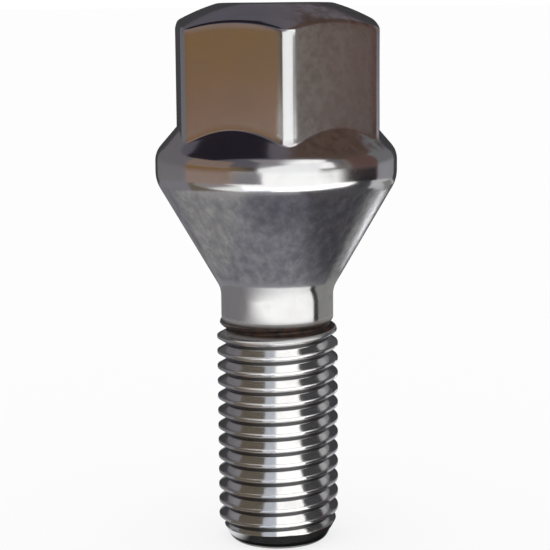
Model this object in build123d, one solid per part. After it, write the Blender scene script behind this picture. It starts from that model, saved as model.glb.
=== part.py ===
from build123d import *
import math
import os

# Wheel bolt, forged and thread-rolled as one piece of steel.
# It stands on its tip with +Z along the bolt axis, and the origin is the centre of the tip face.
# Two corners of the hex lie on the Y axis. Lengths are in millimetres and angles in degrees.

# Threaded length: M12 with the allowance of a plated bolt, as the plain cylinder over its crests
thread_diameter = 11.85
thread_full_length = 20.2
thread_runout = 3.0

# Tip: flat face and lead-in chamfer, measured from the axis
tip_face_diameter = 9.4
tip_chamfer_angle = 29.0

# Neck between the thread and the seat
neck_length = 1.9
neck_diameter = 10.95
neck_fillet = 2.6

# Conical seat, collar and the sloping shoulder under the hex
seat_angle = 60.0
collar_diameter = 23.3
collar_height = 2.7
collar_lower_radius = 3.2
collar_upper_radius = 0.9
shoulder_angle = 49.0

# Hex head with a domed crown
head_height = 14.1
hex_across_flats = 18.7
hex_corner_radius = 1.3
crown_face_diameter = 10.9
crown_radius = 19.5
crown_edge_radius = 0.5

# Radii, and heights up the axis, that follow from those sizes
thread_radius = thread_diameter / 2
tip_radius = tip_face_diameter / 2
neck_radius = neck_diameter / 2
collar_radius = collar_diameter / 2
crown_face_radius = crown_face_diameter / 2
tip_chamfer_top = (thread_radius - tip_radius) / math.tan(math.radians(tip_chamfer_angle))
runout_top = thread_full_length + thread_runout
neck_top = runout_top + neck_length
seat_top = neck_top + (collar_radius - neck_radius) / math.tan(math.radians(seat_angle / 2))
collar_top = seat_top + collar_height
head_top = collar_top + head_height

# How near a point has to be to a surface to lie on it
on_surface = 0.001


def shoulder_height(radius):
    """Height of the sloping shoulder at a distance from the axis."""
    return collar_top + (collar_radius - radius) * math.tan(math.radians(shoulder_angle))


def crown_height(radius):
    """Height of the domed crown at a distance from the axis."""
    dome_centre = head_top - math.sqrt(crown_radius**2 - crown_face_radius**2)
    return dome_centre + math.sqrt(crown_radius**2 - radius**2)


def turned_body():
    """Threaded length, neck, seat, collar and shoulder, turned about the axis."""
    inside_hex = hex_across_flats / 4
    seat_foot = (neck_radius, neck_top)
    seat_rim = (collar_radius, seat_top)
    shoulder_rim = (collar_radius, collar_top)
    outline = make_face(
        Polyline(
            (0, 0),
            (tip_radius, 0),
            (thread_radius, tip_chamfer_top),
            (thread_radius, thread_full_length),
            (neck_radius, runout_top),
            seat_foot,
            seat_rim,
            shoulder_rim,
            (inside_hex, shoulder_height(inside_hex)),
            (0, shoulder_height(inside_hex)),
            close=True,
        )
    )
    for corner, radius in (
        (seat_foot, neck_fillet),
        (seat_rim, collar_lower_radius),
        (shoulder_rim, collar_upper_radius),
    ):
        vertex = outline.vertices().sort_by_distance((*corner, 0))[0]
        outline = fillet(vertex, radius)
    return revolve(Plane.XZ * outline, Axis.Z)


def hex_head():
    """Hex with rounded corners under a domed crown, whose edge is rounded over."""
    corners_on_y = 30
    hexagon = RegularPolygon(hex_across_flats / 2, 6, major_radius=False, rotation=corners_on_y)
    hexagon = fillet(hexagon.vertices(), hex_corner_radius)
    prism = Pos(0, 0, collar_top) * extrude(hexagon, head_height)
    dome = Pos(0, 0, crown_height(0) - crown_radius) * Sphere(crown_radius)
    head = prism & dome
    crown_edges = head.edges().filter_by(lambda edge: on_crown_rim(edge @ 0.5))
    return fillet(crown_edges, crown_edge_radius)


def on_crown_rim(point):
    """Whether a point lies on the dome, outside its flat face."""
    radius = math.hypot(point.X, point.Y)
    outside_face = radius > crown_face_radius + crown_edge_radius
    return outside_face and abs(point.Z - crown_height(radius)) < on_surface


def wheel_bolt():
    """The whole bolt as one solid."""
    return turned_body() + hex_head()


os.makedirs("parts", exist_ok=True)
bolt = wheel_bolt()
export_step(bolt, "parts/wheel_bolt.step")
print(f"wheel bolt: {bolt.volume:.0f} cubic mm, {head_top:.2f} mm tall")
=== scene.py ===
import math
import bpy
from mathutils import Matrix, Vector, kdtree


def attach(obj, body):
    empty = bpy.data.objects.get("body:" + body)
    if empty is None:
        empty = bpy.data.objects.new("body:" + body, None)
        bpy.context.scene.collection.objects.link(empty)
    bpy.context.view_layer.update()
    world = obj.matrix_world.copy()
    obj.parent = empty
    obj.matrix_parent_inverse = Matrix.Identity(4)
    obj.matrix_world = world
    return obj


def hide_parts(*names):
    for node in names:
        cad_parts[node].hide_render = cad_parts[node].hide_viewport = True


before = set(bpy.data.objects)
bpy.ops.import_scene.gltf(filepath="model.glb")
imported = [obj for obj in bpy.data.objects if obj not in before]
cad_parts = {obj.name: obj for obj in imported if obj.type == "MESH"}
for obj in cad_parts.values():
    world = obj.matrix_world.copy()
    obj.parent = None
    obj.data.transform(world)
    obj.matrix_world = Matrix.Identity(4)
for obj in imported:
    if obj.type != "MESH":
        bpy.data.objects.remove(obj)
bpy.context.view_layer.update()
mm = 0.001  # sizes below are written in millimetres, Blender works in metres
nearby = {"spin": 0.001, "thread": 0.002, "cut": 0.0001}  # how near points have to be to count as one


# Shader maths as plain expressions

class Wire:
    def __init__(self, socket):
        self.socket = socket

    @classmethod
    def node(cls, tree, kind, settings=None, sockets=None, output=0):
        made = tree.nodes.new(kind)
        for name, value in (settings or {}).items():
            setattr(made, name, value)
        for key, value in (sockets or {}).items():
            if isinstance(value, Wire):
                tree.links.new(value.socket, made.inputs[key])
            else:
                made.inputs[key].default_value = value
        return cls(made.outputs[output])

    def more(self, kind, settings=None, sockets=None, output=0):
        return Wire.node(self.socket.id_data, kind, settings, sockets, output)

    def maths(self, operation, first, second):
        return self.more("ShaderNodeMath", {"operation": operation}, {0: first, 1: second})

    def __add__(self, other):
        return self.maths("ADD", self, other)

    def __radd__(self, other):
        return self.maths("ADD", other, self)

    def __sub__(self, other):
        return self.maths("SUBTRACT", self, other)

    def __rsub__(self, other):
        return self.maths("SUBTRACT", other, self)

    def __mul__(self, other):
        return self.maths("MULTIPLY", self, other)

    def __rmul__(self, other):
        return self.maths("MULTIPLY", other, self)

    def __pow__(self, other):
        return self.maths("POWER", self, other)

    def most(self, other):
        return self.maths("MAXIMUM", self, other)

    def step(self, low, high):  # 0 at low, 1 at high, eased between
        return self.more("ShaderNodeMapRange", {"interpolation_type": "SMOOTHSTEP"},
                         {"Value": self, "From Min": low, "From Max": high})

    def blend(self, first, second):  # colours, by this value
        return self.more("ShaderNodeMix", {"data_type": "RGBA"}, {0: self, 6: first, 7: second}, 2)


def newMaterial(name):
    material = bpy.data.materials.new(name)
    material.use_nodes = True
    material.node_tree.nodes.clear()
    return material, material.node_tree


def finishMaterial(tree, shader):
    output = tree.nodes.new("ShaderNodeOutputMaterial")
    tree.links.new(shader.socket, output.inputs["Surface"])


# Small modelling helpers

def deselectAll():
    if bpy.context.mode != "OBJECT":
        bpy.ops.object.mode_set(mode="OBJECT")
    bpy.ops.object.select_all(action="DESELECT")


def drawLine(name, points):
    # a plane is merged to one vertex, which is then extruded from point to point
    deselectAll()
    bpy.ops.mesh.primitive_plane_add(size=mm)
    piece = bpy.context.object
    piece.name = name
    piece.data.name = name
    bpy.ops.object.mode_set(mode="EDIT")
    bpy.ops.mesh.select_mode(type="VERT")
    bpy.ops.mesh.select_all(action="SELECT")
    bpy.ops.mesh.merge(type="CENTER")
    spots = [Vector(point) * mm for point in points]
    bpy.ops.transform.translate(value=spots[0])
    for before, after in zip(spots, spots[1:]):
        bpy.ops.mesh.extrude_region_move(TRANSFORM_OT_translate={"value": after - before})
    return piece


def spinLine(name, points, steps, sweep=2 * math.pi):
    piece = drawLine(name, points)
    bpy.ops.mesh.select_all(action="SELECT")
    bpy.ops.mesh.spin(steps=steps, angle=-sweep, center=(0, 0, 0), axis=(0, 0, 1))  # turns clockwise
    bpy.ops.mesh.select_all(action="SELECT")
    bpy.ops.mesh.remove_doubles(threshold=nearby["spin"] * mm)
    bpy.ops.mesh.normals_make_consistent(inside=False)
    bpy.ops.object.mode_set(mode="OBJECT")
    return piece


def share(value, low, high):  # 0 up to low, 1 from high on
    return min(1.0, max(0.0, (value - low) / (high - low)))


def straight(first, last, rows):  # points after the first one, up to the last
    first, last = Vector(first), Vector(last)
    return [tuple(first.lerp(last, row / rows)) for row in range(1, rows + 1)]


def rounded(before, corner, after, radius, rows):
    # points of the arc that rounds a corner, from one tangent point to the other
    corner = Vector(corner)
    toBefore = (Vector(before) - corner).normalized()
    toAfter = (Vector(after) - corner).normalized()
    half = toBefore.angle(toAfter) / 2
    middle = corner + (toBefore + toAfter).normalized() * radius / math.sin(half)
    start = corner + toBefore * radius / math.tan(half) - middle
    turn = start.angle_signed(corner + toAfter * radius / math.tan(half) - middle)
    return [tuple(middle + Matrix.Rotation(-turn * row / rows, 2) @ start) for row in range(rows + 1)]


# Bolt, all sizes in millimetres and degrees

size = {
    "threadDiameter": 11.85,
    "threadPitch": 1.5,
    "threadDepth": 0.6134,  # this and the two flats are shares of the pitch
    "crestFlat": 1 / 6,
    "rootFlat": 1 / 8,
    "threadFull": 20.6,
    "threadRunout": 1.8,
    "grooveEnd": 21.2,  # height up to which the groove keeps its depth
    "threadStart": 27.0,  # turns the thread about the axis
    "crestRadius": 0.07,
    "rootRadius": 0.12,
    "joinAbove": 0.4,  # from the run-out up to the lowest row of the head's mesh
    "joinGap": 0.2,  # from there down to the top of the thread's mesh
    "tipDiameter": 9.4,
    "tipAngle": 29.0,
    "tipEdge": 0.35,  # height over which the tip's edge is rounded
    "tipDraw": 0.4,  # share of that height by which it draws in
    "chamferSoft": 0.06,  # rounds the crests where they meet the chamfer
    "neckLength": 2.7,
    "neckDiameter": 10.95,
    "neckFillet": 2.6,
    "seatAngle": 60.0,
    "collarDiameter": 23.285,
    "collarHeight": 2.7,
    "collarLower": 3.2,
    "collarUpper": 2.2,
    "shoulderAngle": 49.0,
    "headHeight": 14.1,
    "acrossFlats": 18.7,
    "firstCorner": 90.0,  # angle about the axis, which puts it on +Y
    "cornerRadius": 1.8,
    "hexFoot": 0.4,
    "crownFace": 10.9,
    "crownRadius": 19.5,
    "crownEdge": 0.55,
    "crownSoften": 2.0,
    "dents": 0.03,  # depth of the forging's unevenness
    "dentSize": 5.0,
    "dentsAbove": 0.3,  # the unevenness begins that far above the collar
    "wearAbove": 0.3,  # the worn corners begin that far above the shoulder
    "wearInside": 1.2,  # and reach that far inside the hex wall
    "creaseAngle": 40.0,  # sharper edges stay sharp in the shading
}

# how many rows or columns of faces each form has
meshRows = {
    "neck": 2,
    "neckFillet": 8,
    "seat": 14,
    "collarLower": 8,
    "collar": 3,
    "collarUpper": 6,
    "shoulder": 5,
    "hexFoot": 4,
    "wall": 20,
    "crownEdge": 6,
    "dome": 12,
    "crownSoften": 4,
    "face": 6,
    "halfCorner": 5,
    "flat": 22,
    "cornerWear": 6,  # columns over which the wear of a corner fades
    "threadTurn": 144,
    "threadArc": 3,
    "threadFlank": 5,
}
hexSides = 6

threadRadius = size["threadDiameter"] / 2
threadRoot = threadRadius - size["threadDepth"] * size["threadPitch"]
tipRadius = size["tipDiameter"] / 2
neckRadius = size["neckDiameter"] / 2
collarRadius = size["collarDiameter"] / 2
faceRadius = size["crownFace"] / 2
runoutTop = size["threadFull"] + size["threadRunout"]
neckTop = runoutTop + size["neckLength"]
seatTop = neckTop + (collarRadius - neckRadius) / math.tan(math.radians(size["seatAngle"] / 2))
collarTop = seatTop + size["collarHeight"]
headTop = collarTop + size["headHeight"]
joinHeight = runoutTop + size["joinAbove"]


def crownHeight(radius):
    drop = math.sqrt(size["crownRadius"] ** 2 - faceRadius ** 2)
    return headTop - drop + math.sqrt(size["crownRadius"] ** 2 - radius ** 2)


def shoulderHeight(radius):
    return collarTop + (collarRadius - radius) * math.tan(math.radians(size["shoulderAngle"]))


def hexColumns():
    # angle and radius of each column of the rounded hex, from the corner on the +Y axis round
    radius = size["cornerRadius"]
    cornerRows = meshRows["halfCorner"]
    half = math.pi / hexSides
    centre = (size["acrossFlats"] / 2 - radius) / math.cos(half)  # of a corner's arc, from the axis
    nextCentre = Vector((centre * math.cos(2 * half), centre * math.sin(2 * half)))
    along = Vector((-math.sin(half), math.cos(half)))
    columns = []
    for side in range(hexSides):
        turn = math.radians(size["firstCorner"]) + 2 * half * side
        local = []
        for row in range(cornerRows + 1):
            lean = half * row / cornerRows
            local.append((centre + radius * math.cos(lean), radius * math.sin(lean)))
        start = Vector(local[-1])
        for row in range(1, meshRows["flat"] + 1):  # a flat is as long as the arcs' centres are far apart
            local.append(tuple(start + along * centre * row / meshRows["flat"]))
        for row in range(1, cornerRows):
            lean = half + half * row / cornerRows
            local.append(tuple(nextCentre + radius * Vector((math.cos(lean), math.sin(lean)))))
        for x, y in local:
            columns.append((turn + math.atan2(y, x), math.hypot(x, y)))
    return columns


def boltProfile(wall):
    # from the neck up to the centre of the crown, for a hex wall that far from the axis
    seatFoot = (neckRadius, neckTop)
    seatRim = (collarRadius, seatTop)
    shoulderRim = (collarRadius, collarTop)
    hexFoot = (wall, shoulderHeight(wall))
    crownRim = (wall, crownHeight(wall))
    slope = wall / math.sqrt(size["crownRadius"] ** 2 - wall ** 2)  # of the dome at the wall
    faceRim = (faceRadius, headTop)
    faceSlope = faceRadius / math.sqrt(size["crownRadius"] ** 2 - faceRadius ** 2)

    points = [(neckRadius, joinHeight)]
    arc = rounded(points[0], seatFoot, seatRim, size["neckFillet"], meshRows["neckFillet"])
    points += straight(points[-1], arc[0], meshRows["neck"]) + arc[1:]
    arc = rounded(seatFoot, seatRim, shoulderRim, size["collarLower"], meshRows["collarLower"])
    points += straight(points[-1], arc[0], meshRows["seat"]) + arc[1:]
    shoulderPeak = (0, shoulderHeight(0))
    arc = rounded(seatRim, shoulderRim, shoulderPeak, size["collarUpper"], meshRows["collarUpper"])
    points += straight(points[-1], arc[0], meshRows["collar"]) + arc[1:]
    arc = rounded(shoulderRim, hexFoot, crownRim, size["hexFoot"], meshRows["hexFoot"])
    points += straight(points[-1], arc[0], meshRows["shoulder"]) + arc[1:]
    upDome = (wall - 1, crownRim[1] + slope)
    arc = rounded(hexFoot, crownRim, upDome, size["crownEdge"], meshRows["crownEdge"])
    points += straight(points[-1], arc[0], meshRows["wall"]) + arc[1:]
    downDome = (faceRadius + 1, headTop - faceSlope)
    arc = rounded(downDome, faceRim, (0, headTop), size["crownSoften"], meshRows["crownSoften"])
    radius = points[-1][0]
    for row in range(meshRows["dome"]):
        radius += (arc[0][0] - radius) / (meshRows["dome"] - row)
        points.append((radius, crownHeight(radius)))
    points[-1] = arc[0]
    points += arc[1:]
    points += straight(arc[-1], (0, headTop), meshRows["face"])
    return points


def makeHead():
    columns = hexColumns()
    profile = boltProfile(size["acrossFlats"] / 2)
    head = spinLine("wheelBolt", [(r, 0, z) for r, z in profile], len(columns))

    # which row of the profile each vertex of the spun shape came from
    rows = kdtree.KDTree(len(profile))
    for row, (radius, height) in enumerate(profile):
        rows.insert((radius, height, 0), row)
    rows.balance()
    profiles = {}
    wear = []
    onForging = []
    stepAngle = 2 * math.pi / len(columns)
    sideColumns = len(columns) // hexSides
    cornerRows = meshRows["halfCorner"]
    for vertex in head.data.vertices:
        spot = vertex.co / mm
        row = rows.find((math.hypot(spot.x, spot.y), spot.z, 0))[1]
        index = round(math.atan2(spot.y, spot.x) / stepAngle) % len(columns)
        angle, wall = columns[index]
        key = round(wall, 6)
        if key not in profiles:
            profiles[key] = boltProfile(wall)
        radius, height = profiles[key][row]
        vertex.co = Vector((radius * math.cos(angle), radius * math.sin(angle), height)) * mm
        fromCorner = abs((index + cornerRows) % sideColumns - cornerRows)
        cornerWear = max(0.0, 1 - fromCorner / meshRows["cornerWear"])
        onWall = height > shoulderHeight(wall) + size["wearAbove"] and radius > wall - size["wearInside"]
        wear.append(cornerWear if onWall else 0.0)
        if height > collarTop + size["dentsAbove"]:
            onForging.append(vertex.index)
    head.vertex_groups.new(name="forged").add(onForging, 1.0, "REPLACE")
    head.data.attributes.new("edgeWear", "FLOAT", "POINT").data.foreach_set("value", wear)
    print("head: pressed", len(columns), "columns into the hex")
    return head


def uneven(piece, group):
    # forging leaves the faces a little uneven, inwards only
    clouds = bpy.data.textures.new("forgeClouds", "CLOUDS")
    clouds.noise_scale = size["dentSize"] * mm
    clouds.noise_depth = 1
    change = piece.modifiers.new("forging", "DISPLACE")
    change.texture = clouds
    change.texture_coords = "LOCAL"
    change.mid_level = 1.0
    change.strength = size["dents"] * mm
    change.vertex_group = group
    deselectAll()
    piece.select_set(True)
    bpy.context.view_layer.objects.active = piece
    bpy.ops.object.modifier_apply(modifier=change.name)


def threadProfile():
    # one pitch of the thread, from one root to the next
    pitch = size["threadPitch"]
    halfCrest = pitch * size["crestFlat"] / 2
    toRoot = pitch * (1 - size["rootFlat"]) / 2
    corners = [(threadRoot, -pitch / 2), (threadRoot, -toRoot), (threadRadius, -halfCrest),
               (threadRadius, halfCrest), (threadRoot, toRoot), (threadRoot, pitch / 2)]
    radii = [size["rootRadius"], size["crestRadius"], size["crestRadius"], size["rootRadius"]]
    points = [corners[0]]
    for before, corner, after, radius in zip(corners, corners[1:], corners[2:], radii):
        arc = rounded(before, corner, after, radius, meshRows["threadArc"])
        onFlank = corner[0] != before[0]
        if onFlank:
            points += straight(points[-1], arc[0], meshRows["threadFlank"])[:-1]
        points += arc
    return points + [corners[-1]]


def makeThread():
    pitch = size["threadPitch"]
    spareTurns = 2  # at each end, cut off later
    below = spareTurns * pitch
    lift = pitch * size["threadStart"] / 360 - below
    thread = drawLine("thread", [(r, 0, z + lift) for r, z in threadProfile()])
    deselectAll()
    thread.select_set(True)
    bpy.context.view_layer.objects.active = thread
    turn = thread.modifiers.new("turns", "SCREW")
    turn.angle = 2 * math.pi
    turn.screw_offset = pitch * mm
    turn.iterations = math.ceil((joinHeight + below) / pitch) + spareTurns
    turn.steps = meshRows["threadTurn"]
    turn.render_steps = meshRows["threadTurn"]
    bpy.ops.object.modifier_apply(modifier=turn.name)

    # the crests follow the tip's chamfer, and fade into the neck
    tipSlope = math.tan(math.radians(size["tipAngle"]))
    soft = size["chamferSoft"]
    for vertex in thread.data.vertices:
        spot = vertex.co / mm
        radius = math.hypot(spot.x, spot.y)
        limit = tipRadius + spot.z * tipSlope
        if spot.z < size["tipEdge"]:
            limit -= (size["tipEdge"] - spot.z) ** 2 / size["tipEdge"] * size["tipDraw"]
        gap = max(0.0, soft - abs(radius - limit)) / soft
        target = min(radius, limit) - gap * gap * soft / 4
        crest = threadRadius + (neckRadius - threadRadius) * share(spot.z, size["threadFull"], runoutTop)
        root = threadRoot + (neckRadius - threadRoot) * share(spot.z, size["grooveEnd"], runoutTop)
        target = root + (crest - root) * (target - threadRoot) / (threadRadius - threadRoot)
        vertex.co.x *= target / radius
        vertex.co.y *= target / radius

    bpy.ops.object.mode_set(mode="EDIT")
    bpy.ops.mesh.select_all(action="SELECT")
    bpy.ops.mesh.remove_doubles(threshold=nearby["thread"] * mm)
    bpy.ops.mesh.select_all(action="SELECT")
    bpy.ops.mesh.bisect(plane_co=(0, 0, 0), plane_no=(0, 0, 1), use_fill=True, clear_inner=True,
                        threshold=nearby["cut"] * mm)
    bpy.ops.mesh.select_all(action="SELECT")
    threadTop = (joinHeight - size["joinGap"]) * mm
    bpy.ops.mesh.bisect(plane_co=(0, 0, threadTop), plane_no=(0, 0, 1), clear_outer=True,
                        threshold=nearby["cut"] * mm)
    bpy.ops.object.mode_set(mode="OBJECT")
    print("thread:", len(thread.data.vertices), "vertices")
    return thread


def joinBolt(head, thread):
    deselectAll()
    thread.select_set(True)
    head.select_set(True)
    bpy.context.view_layer.objects.active = head
    bpy.ops.object.join()
    bpy.ops.object.mode_set(mode="EDIT")
    bpy.ops.mesh.select_mode(type="EDGE")
    bpy.ops.mesh.select_all(action="DESELECT")
    bpy.ops.mesh.select_non_manifold(use_wire=False, use_multi_face=False, use_non_contiguous=False,
                                     use_verts=False)  # the two open ends
    bpy.ops.mesh.bridge_edge_loops()
    bpy.ops.mesh.select_all(action="SELECT")
    bpy.ops.mesh.normals_make_consistent(inside=False)
    bpy.ops.object.mode_set(mode="OBJECT")
    bpy.ops.object.shade_smooth_by_angle(angle=math.radians(size["creaseAngle"]))
    print("bolt:", len(head.data.vertices), "vertices,", len(head.data.polygons), "faces")


# Plated steel, one finish with its zones set by height and distance from the axis

steel = {
    "bright": (0.85, 0.845, 0.835, 1),
    "dull": (0.66, 0.65, 0.635, 1),
    "seat": (0.45, 0.45, 0.475, 1),
    "stain": (0.46, 0.37, 0.31, 1),
    "rust": (0.06, 0.03, 0.018, 1),
    "soot": (0.018, 0.013, 0.011, 1),
    # painted shade: the colour that darkens the thread roots nearly to black
    "rootShade": (0.02, 0.021, 0.023, 1),
}

# zones as heights or distances from the axis, from where one begins to where it is in full
zones = {
    "thread": (runoutTop + 0.2, runoutTop - 0.4),
    "root": (threadRoot + 0.055, threadRoot + 0.010),
    "grooveLow": (size["threadFull"], size["grooveEnd"]),
    "grooveHigh": (runoutTop + 0.3, runoutTop - 0.4),
    "rust": (threadRadius - 0.125, threadRadius - 0.375),
    "seatLow": (neckTop + 0.9, neckTop + 1.7),
    "seatHigh": (seatTop + 0.218, seatTop - 1.182),
    "head": (collarTop + 0.118, collarTop + 0.918),
    "scuffed": (-1, 2),  # along X
}

# noise: lumps to the millimetre, their detail and how rough they are
grains = {
    "blotch": {"scale": 0.30, "detail": 4.0, "rough": 0.6},
    "speck": {"scale": 1.1, "detail": 4.0, "rough": 0.6},
    "fine": {"scale": 6.0, "detail": 2.0, "rough": 0.5},
    "scuffs": {"scale": 1.2, "detail": 4.0, "rough": 0.65, "stretch": (1, 1, 0.7)},
}

# the noise at which a patch begins, and at which it is in full
patches = {"dull": (0.40, 0.70), "seat": (0.20, 0.75), "stain": (0.34, 0.72), "rust": (0.35, 0.65)}

# how much of the plating each of them hides
cover = {"dull": 0.35, "stain": 0.8, "root": 0.9, "rust": 0.7}

# roughness of clean plating, and what each zone adds to it
roughness = {"clean": 0.13, "fine": 0.05, "dull": 0.08, "stain": 0.10, "seat": 0.10, "rust": 0.25,
             "root": 0.25}

# how high the bumps are, as shares of their depth in millimetres
bumps = {"depth": 0.012, "strength": 0.3, "fine": 0.4, "seat": 0.8, "stain": 1.2}


def platedSteel():
    material, tree = newMaterial("platedSteel")
    place = Wire.node(tree, "ShaderNodeTexCoord", output=3)
    parts = tree.nodes.new("ShaderNodeSeparateXYZ")
    tree.links.new(place.socket, parts.inputs[0])
    x, y, z = (Wire(parts.outputs[axis]) * (1 / mm) for axis in range(3))
    radius = (x * x + y * y) ** 0.5

    def clouds(scale, detail, rough, stretch=(1, 1, 1)):
        moved = place.more("ShaderNodeMapping", None, {"Vector": place, "Scale": stretch})
        return place.more("ShaderNodeTexNoise", None,
                          {"Vector": moved, "Scale": scale / mm, "Detail": detail, "Roughness": rough})

    onThread = z.step(*zones["thread"])
    onSeat = z.step(*zones["seatLow"]) * z.step(*zones["seatHigh"])
    onHead = z.step(*zones["head"])
    inRoot = onThread * radius.step(*zones["root"])
    lastGroove = z.step(*zones["grooveLow"]) * z.step(*zones["grooveHigh"])
    wear = Wire.node(tree, "ShaderNodeAttribute", {"attribute_name": "edgeWear"}, output=2)
    blotch, speck, fine, scuffs = (clouds(**grain) for grain in grains.values())

    dull = blotch.step(*patches["dull"]) * cover["dull"] * (1 - wear)
    scuffed = onHead * x.step(*zones["scuffed"]) * (1 - wear)
    stain = speck.step(*patches["stain"]) * scuffed
    rust = lastGroove * radius.step(*zones["rust"])
    colour = dull.blend(steel["bright"], steel["dull"])
    colour = (onSeat * scuffs.step(*patches["seat"])).blend(colour, steel["seat"])
    colour = (stain * cover["stain"]).blend(colour, steel["stain"])
    colour = rust.blend(colour, speck.step(*patches["rust"]).blend(steel["soot"], steel["rust"]))
    # painted shade: every thread root is darkened nearly to black
    colour = (inRoot * cover["root"]).blend(colour, steel["rootShade"])

    rough = roughness["clean"] + roughness["fine"] * (fine - 0.5)
    zoneLooks = {"dull": dull, "stain": stain, "seat": onSeat, "rust": rust, "root": inRoot}
    for name, amount in zoneLooks.items():
        rough = rough + roughness[name] * amount
    height = bumps["fine"] * fine + onSeat * bumps["seat"] * scuffs + scuffed * bumps["stain"] * speck
    normal = place.more("ShaderNodeBump", None, {
        "Strength": bumps["strength"], "Distance": bumps["depth"] * mm, "Height": height})
    shader = place.more("ShaderNodeBsdfPrincipled", None, {
        "Base Color": colour, "Roughness": rough, "Metallic": 1 - cover["rust"] * rust, "Normal": normal})
    finishMaterial(tree, shader)
    return material


def makeBolt():
    head = makeHead()
    uneven(head, "forged")
    joinBolt(head, makeThread())
    head.vertex_groups.clear()
    head.data.materials.clear()
    head.data.materials.append(platedSteel())
    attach(head, "root")
    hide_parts("wheel_bolt")


makeBolt()


# Floor, and the cards that the metal mirrors

cameraTurn = -96.0  # angle about Z of the camera's side of the bolt, in degrees

# A card has one colour, or two that blend from low to high along its way, which is
# (right, front, up) as seen from the camera. Lengths are in mm and fade is measured along the way.
upwards = (0, 0, 1)
rightwards = (1, 0, 0)
frontwards = (0, 1, 0)
white = (1.1, 1.1, 1.11)

# standing cards: degrees right of the camera as seen from the bolt, distance and height
standingCards = {
    "warmCard": {"turns": (-92, -43), "away": 170, "top": 54, "way": upwards, "fade": (28, 46),
                 "low": (0.20, 0.12, 0.085), "high": (0.185, 0.105, 0.04)},
    "warmHigh": {"turns": (-92, -43), "away": 174, "top": 150, "colour": (0.215, 0.155, 0.13)},
    "rightCard": {"turns": (68, 108), "away": 170, "top": 150, "way": frontwards, "fade": (44, 62),
                  "low": (0.105, 0.063, 0.057), "high": (0.178, 0.158, 0.14)},
    "rightLow": {"turns": (71, 106), "away": 168, "top": 28, "way": upwards, "fade": (20, 28),
                 "low": (0.012, 0.01, 0.012), "high": (0.08, 0.06, 0.06)},
    "collarLeft": {"turns": (-92, -13), "away": 168, "top": 25, "way": rightwards, "fade": (-120, -95),
                   "low": (0.26, 0.195, 0.165), "high": (0.17, 0.16, 0.18)},
    "collarLight": {"turns": (52, 70.5), "away": 168, "top": 29, "way": rightwards, "fade": (137, 159),
                    "low": white, "high": (0.06, 0.055, 0.06)},
    "leftGrey": {"turns": (-150, -92), "away": 180, "top": 150, "way": upwards, "fade": (0, 60),
                 "low": (0.18, 0.17, 0.185), "high": (0.14, 0.13, 0.145)},
    "rightGrey": {"turns": (108, 145), "away": 180, "top": 150, "way": upwards, "fade": (24, 50),
                  "low": (0.25, 0.25, 0.275), "high": (0.15, 0.15, 0.16)},
    "rearDark": {"turns": (145, 210), "away": 180, "top": 150, "way": upwards, "fade": (0, 60),
                 "low": (0.04, 0.04, 0.045), "high": (0.05, 0.05, 0.055)},
    "frontLight": {"turns": (-57, 55), "away": 296, "top": 17, "colour": white},
    "edgeLight": {"turns": (-17, 41), "away": 298, "top": 185, "way": (-0.8, 0, 1), "fade": (100, 170),
                  "low": (0.94, 0.95, 0.97), "high": (0.28, 0.265, 0.285)},
    "edgeLeft": {"turns": (-57, -17), "away": 300, "top": 100, "way": rightwards, "fade": (-190, -100),
                 "low": (0.14, 0.095, 0.055), "high": (0.05, 0.045, 0.04)},
    "edgeRight": {"turns": (41, 55), "away": 300, "top": 185, "way": upwards, "fade": (40, 60),
                  "low": (0.20, 0.20, 0.205), "high": white},
    "frontRight": {"turns": (55, 73), "away": 300, "top": 100, "way": upwards, "fade": (12, 18),
                   "low": white, "high": (0.15, 0.14, 0.13)},
}

# the sheets under the neck leave the seat's right side free to mirror the floor behind it
neckSheet = ((-20, -20), (8.5, -20), (9.6, -13), (11.6, -8.5), (12.3, -6.3), (14, -5.2), (30, -13),
             (30, 19), (-20, 19))

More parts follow.
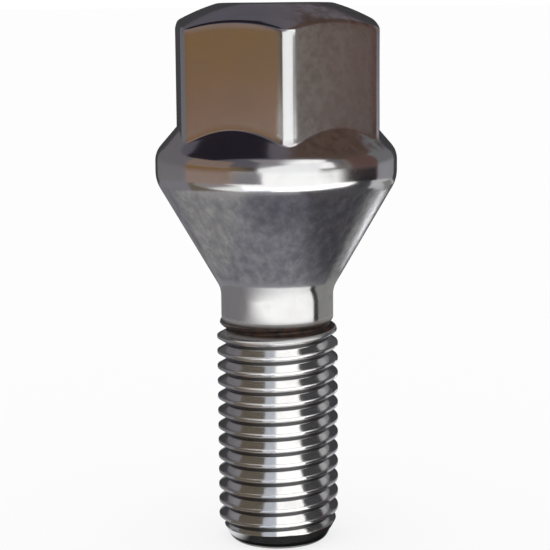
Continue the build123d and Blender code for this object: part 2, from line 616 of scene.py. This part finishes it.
# lying cards: corners to the right and to the front of the bolt, and their height
lyingCards = {
    "frontPaper": {"corners": ((-240, 4), (240, 4), (240, 290), (-240, 290)), "height": 0.05,
                   "way": frontwards, "fade": (70, 110), "low": (1.55, 1.55, 1.57), "high": white},
    "backGrey": {"corners": ((-230, 42), (0, 0.5), (230, 42), (230, -260), (-230, -260)), "height": 0.1,
                 "way": rightwards, "fade": (-60, 60),
                 "low": (0.19, 0.185, 0.205), "high": (0.48, 0.48, 0.49)},
    "paleWedge": {"corners": ((-2.8, 5.3), (-0.4, 6.0), (-5, 70), (-33, 62)), "height": 0.15,
                  "colour": (0.58, 0.62, 0.70)},
    "leftPaper": {"corners": ((-28, 53), (-70, 110), (-240, 110), (-240, 15), (-120, 15)), "height": 0.15,
                  "way": rightwards, "fade": (-92, -58),
                  "low": (0.24, 0.22, 0.22), "high": (0.85, 0.85, 0.87)},
    "leftOlive": {"corners": ((-2.8, 5.3), (-28, 53), (-120, 15), (-217, 38), (-217, 0), (-5.8, 1.5)),
                  "height": 0.2, "colour": (0.125, 0.105, 0.08)},
    "rightDark": {"corners": ((4.5, 4.0), (45, 40), (125, 29), (217, 38), (217, -38), (6.0, -0.6)),
                  "height": 0.2, "colour": (0.045, 0.045, 0.05)},
    "rearStreak": {"corners": ((36, -43), (54, -54), (54, -100), (36, -72)), "height": 0.3,
                   "way": rightwards, "fade": (32, 46), "low": (0.5, 0.5, 0.51), "high": (1.6, 1.6, 1.62)},
    "rearShade": {"corners": ((29, -56), (52, -84), (70, -130), (40, -230), (0, -230), (8, -100)),
                  "height": 0.35, "colour": (0.06, 0.06, 0.065)},
    "rearGrey": {"corners": ((56, -62), (115, -62), (115, -130), (42, -130), (42, -100)), "height": 0.25,
                 "colour": (0.21, 0.21, 0.205)},
    "seatRight": {"corners": ((2.3, 6.4), (4.1, 5.4), (5.5, 3.9), (6.3, 2.6), (12.3, 0.8), (19, -1.2),
                              (29, -4), (29, 20), (9, 26)),
                  "height": 24.4, "way": rightwards, "fade": (2.5, 9),
                  "low": (0.215, 0.215, 0.235), "high": (0.06, 0.057, 0.065)},
    "seatBand": {"corners": ((-7.5, 12.6), (7, 12.6), (9, 21), (-9, 21)), "height": 24.45,
                 "way": rightwards, "fade": (-9, -3),
                 "low": (0.2, 0.195, 0.21), "high": (0.115, 0.11, 0.135)},
    "neckGrey": {"corners": neckSheet, "height": 21.95, "way": rightwards, "fade": (-6, 6),
                 "low": (0.18, 0.175, 0.185), "high": (0.24, 0.24, 0.235)},
    "neckPaper": {"corners": ((-3.6, 4.2), (3.6, 4.3), (19, 7.0), (19, 19), (-19, 19), (-19, 6.3)),
                  "height": 22, "way": (0.5, 1, 0), "fade": (1, 11),
                  "low": (0.2, 0.19, 0.2), "high": white},
    "neckDark": {"corners": ((3.6, 4.3), (19, 7.0), (19, 3.2), (4.0, 3.8)), "height": 22.05,
                 "colour": (0.02, 0.022, 0.02)},
    "neckUnder": {"corners": neckSheet, "height": 21.9, "way": frontwards, "fade": (2, 8),
                  "low": (0.08, 0.08, 0.085), "high": (0.8, 0.8, 0.81)},
    "frontRoof": {"corners": ((-70, 115), (150, 115), (225, 190), (150, 290), (-70, 290)), "height": 186,
                  "way": rightwards, "fade": (-10, 90), "low": (0.24, 0.225, 0.245), "high": white},
    "leftRoof": {"corners": ((-14, 90), (-14, -70), (-260, -70), (-260, 90)), "height": 185,
                 "colour": (0.016, 0.013, 0.019)},
    "rightRoof": {"corners": ((25, 90), (25, -115), (260, -115), (260, 90)), "height": 185,
                  "colour": (0.09, 0.06, 0.05)},
}

# round cards: an outline of distances from the axis and heights, turned about it
roundCards = {
    "canopy": {"outline": ((0, 190), (320, 190), (320, 90)), "turns": (0, 360), "way": rightwards,
               "fade": (-40, 60), "low": (0.10, 0.092, 0.112), "high": (0.13, 0.115, 0.13)},
    "tipShade": {"outline": ((0, 0.25), (7.0, 0.25)), "turns": (0, 360), "way": rightwards,
                 "fade": (-5.3, -3.3), "low": (0.75, 0.75, 0.78), "high": (0.015, 0.015, 0.015)},
    "seatShade": {"outline": ((6.7, 24.3), (27, 24.3)), "turns": (-112, 60), "way": rightwards,
                  "fade": (-11, -6), "low": (0.29, 0.285, 0.285), "high": (0.215, 0.215, 0.235)},
}
cardStep = 0.07  # radians of a turned card to each of its faces

floorLooks = {"reach": 6000, "colour": (0.93, 0.93, 0.93, 1), "glow": (1, 1, 1, 1), "glowShare": 0.75}
daylight = {"colour": (1, 1, 1, 1), "strength": 1.0}


def fromCamera(right, front, height):
    turn = math.radians(cameraTurn)
    outward = Vector((math.cos(turn), math.sin(turn), 0))
    rightward = Vector((-math.sin(turn), math.cos(turn), 0))
    return rightward * right + outward * front + Vector((0, 0, height))


def onlyMirrored(piece):
    piece.visible_camera = False
    piece.visible_diffuse = False
    piece.visible_shadow = False


def paintCard(piece, card):
    material, tree = newMaterial(piece.name)
    place = Wire.node(tree, "ShaderNodeTexCoord", output=3)
    if "way" in card:
        way = fromCamera(*card["way"])
        along = place.more("ShaderNodeVectorMath", {"operation": "DOT_PRODUCT"}, {0: place, 1: way}, 1)
        near, far = card["fade"]
        colour = along.step(near * mm, far * mm).blend((*card["low"], 1), (*card["high"], 1))
    else:
        colour = (*card["colour"], 1)
    finishMaterial(tree, place.more("ShaderNodeEmission", None, {"Color": colour}))
    piece.data.materials.append(material)
    onlyMirrored(piece)


def turnedCard(name, outline, turns):
    first, last = (math.radians(turn) for turn in turns)
    edge = [fromCamera(away * math.sin(first), away * math.cos(first), height) for away, height in outline]
    return spinLine(name, edge, math.ceil((last - first) / cardStep), last - first)


def makeCards():
    for name, card in standingCards.items():
        outline = ((card["away"], 0), (card["away"], card["top"]))
        paintCard(turnedCard(name, outline, card["turns"]), card)
    for name, card in roundCards.items():
        paintCard(turnedCard(name, card["outline"], card["turns"]), card)
    for name, card in lyingCards.items():
        corners = [fromCamera(right, front, card["height"]) for right, front in card["corners"]]
        sheet = drawLine(name, corners)
        bpy.ops.mesh.select_all(action="SELECT")
        bpy.ops.mesh.edge_face_add()
        bpy.ops.object.mode_set(mode="OBJECT")
        paintCard(sheet, card)
    print("cards:", len(standingCards) + len(roundCards) + len(lyingCards))


def makeFloor():
    deselectAll()
    bpy.ops.mesh.primitive_plane_add(size=2 * floorLooks["reach"] * mm)
    floor = bpy.context.object
    floor.name = "floor"
    material, tree = newMaterial("paleFloor")
    rays = tree.nodes.new("ShaderNodeLightPath")
    seen = Wire(rays.outputs["Is Camera Ray"]).most(Wire(rays.outputs["Is Glossy Ray"]))
    seen = seen.most(Wire(rays.outputs["Is Transmission Ray"]))
    paint = seen.more("ShaderNodeBsdfDiffuse", None, {"Color": floorLooks["colour"]})
    glow = seen.more("ShaderNodeEmission", None, {"Color": floorLooks["glow"]})
    finishMaterial(tree, seen.more("ShaderNodeMixShader", None,
                                   {0: seen * floorLooks["glowShare"], 1: paint, 2: glow}))
    floor.data.materials.append(material)


def makeWorld():
    world = bpy.data.worlds.new("studio")
    world.use_nodes = True
    background = world.node_tree.nodes["Background"]
    background.inputs["Color"].default_value = daylight["colour"]
    background.inputs["Strength"].default_value = daylight["strength"]
    bpy.context.scene.world = world
    bpy.context.scene.view_settings.view_transform = "Standard"


# Camera

view = {
    "distance": 165.0,
    "down": 9.5,  # degrees below level
    "aimHeight": 26.3,
    "aimLeft": 0.195,
    "roll": 0.45,
    "focalPixels": 1690.0,
    "imagePixels": 550.0,
    "sensor": 36.0,
}


def makeCamera():
    down = math.radians(view["down"])
    aim = fromCamera(-view["aimLeft"], 0, view["aimHeight"])
    spot = aim + view["distance"] * fromCamera(0, math.cos(down), math.sin(down))
    lens = bpy.data.cameras.new("camera")
    lens.sensor_width = view["sensor"]
    lens.lens = view["sensor"] * view["focalPixels"] / view["imagePixels"]
    lens.clip_start = mm
    camera = bpy.data.objects.new("camera", lens)
    bpy.context.scene.collection.objects.link(camera)
    camera.location = spot * mm
    facing = (aim - spot).to_track_quat("-Z", "Y").to_matrix()
    roll = Matrix.Rotation(math.radians(-view["roll"]), 3, "Z")
    camera.rotation_euler = (facing @ roll).to_euler()
    bpy.context.scene.camera = camera


makeFloor()
makeCards()
makeWorld()
makeCamera()
